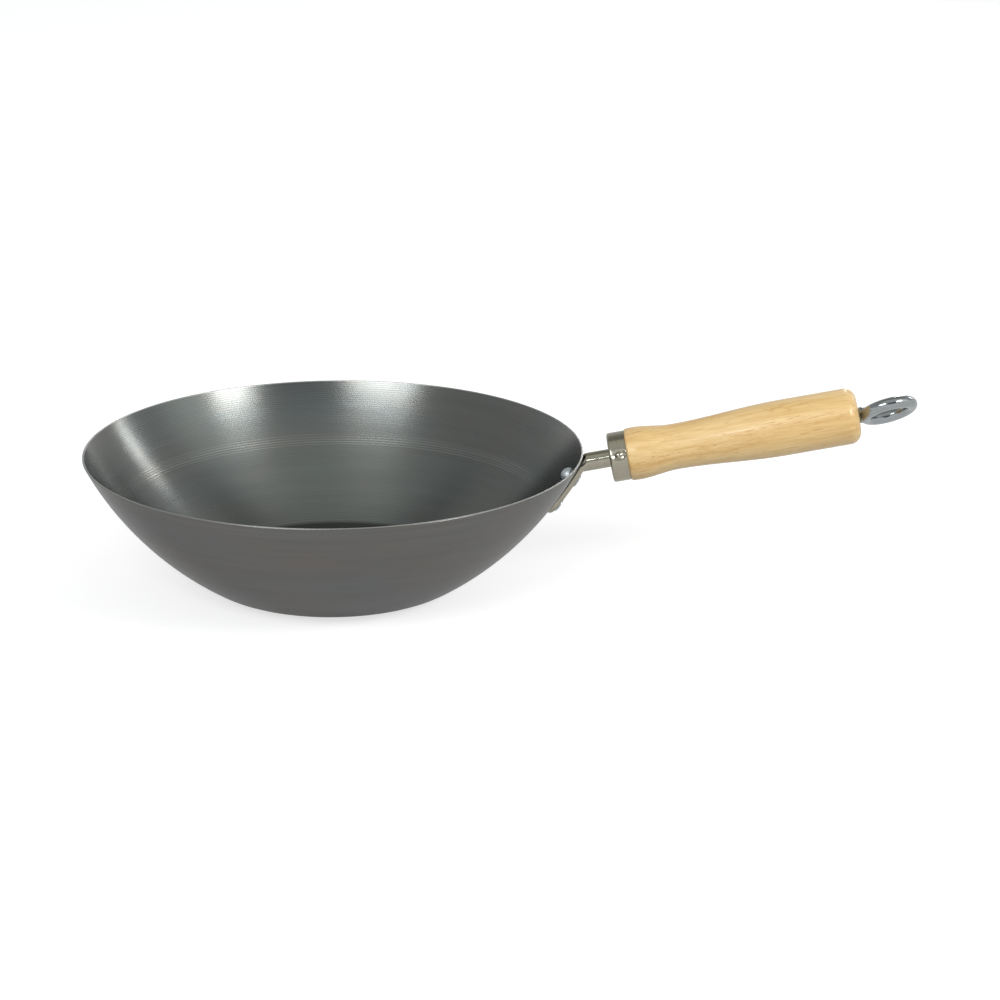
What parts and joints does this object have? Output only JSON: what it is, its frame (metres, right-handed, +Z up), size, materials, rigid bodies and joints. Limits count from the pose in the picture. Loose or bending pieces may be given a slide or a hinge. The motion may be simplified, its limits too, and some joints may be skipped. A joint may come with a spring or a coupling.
{
  "type": "wok",
  "caption": "Flat-bottomed carbon steel wok with one long turned wooden handle, a riveted tube bracket and a hanging ring at the end.",
  "frame": {"origin": "centre of the flat base, on the surface the wok stands on", "axes": "+X from the bowl along the handle, +Z up out of the bowl, +Y to the left of someone looking along +X"},
  "size_m": [0.5025, 0.3018, 0.1216],
  "materials": {
    "bowl_steel": "spun and lightly brushed bare carbon steel",
    "bracket_plating": "bright nickel plating",
    "rivet_aluminium": "satin",
    "ferrule_plating": "nickel plating with fine draw marks",
    "pin_plating": "bright nickel plating",
    "grip_wood": "pale hardwood under clear lacquer",
    "rod_steel": "plain drawn steel",
    "ring_plating": "bright chrome plating"
  },
  "bodies": {
    "root": {"bowl": "bowl_steel", "handle_bracket": "bracket_plating", "rivet_upper": "rivet_aluminium", "rivet_lower": "rivet_aluminium", "ferrule": "ferrule_plating", "cross_pin": "pin_plating", "wooden_grip": "grip_wood", "neck_nut": "rod_steel", "tie_rod": "rod_steel", "hanging_ring": "ring_plating"}
  },
  "joints": []
}
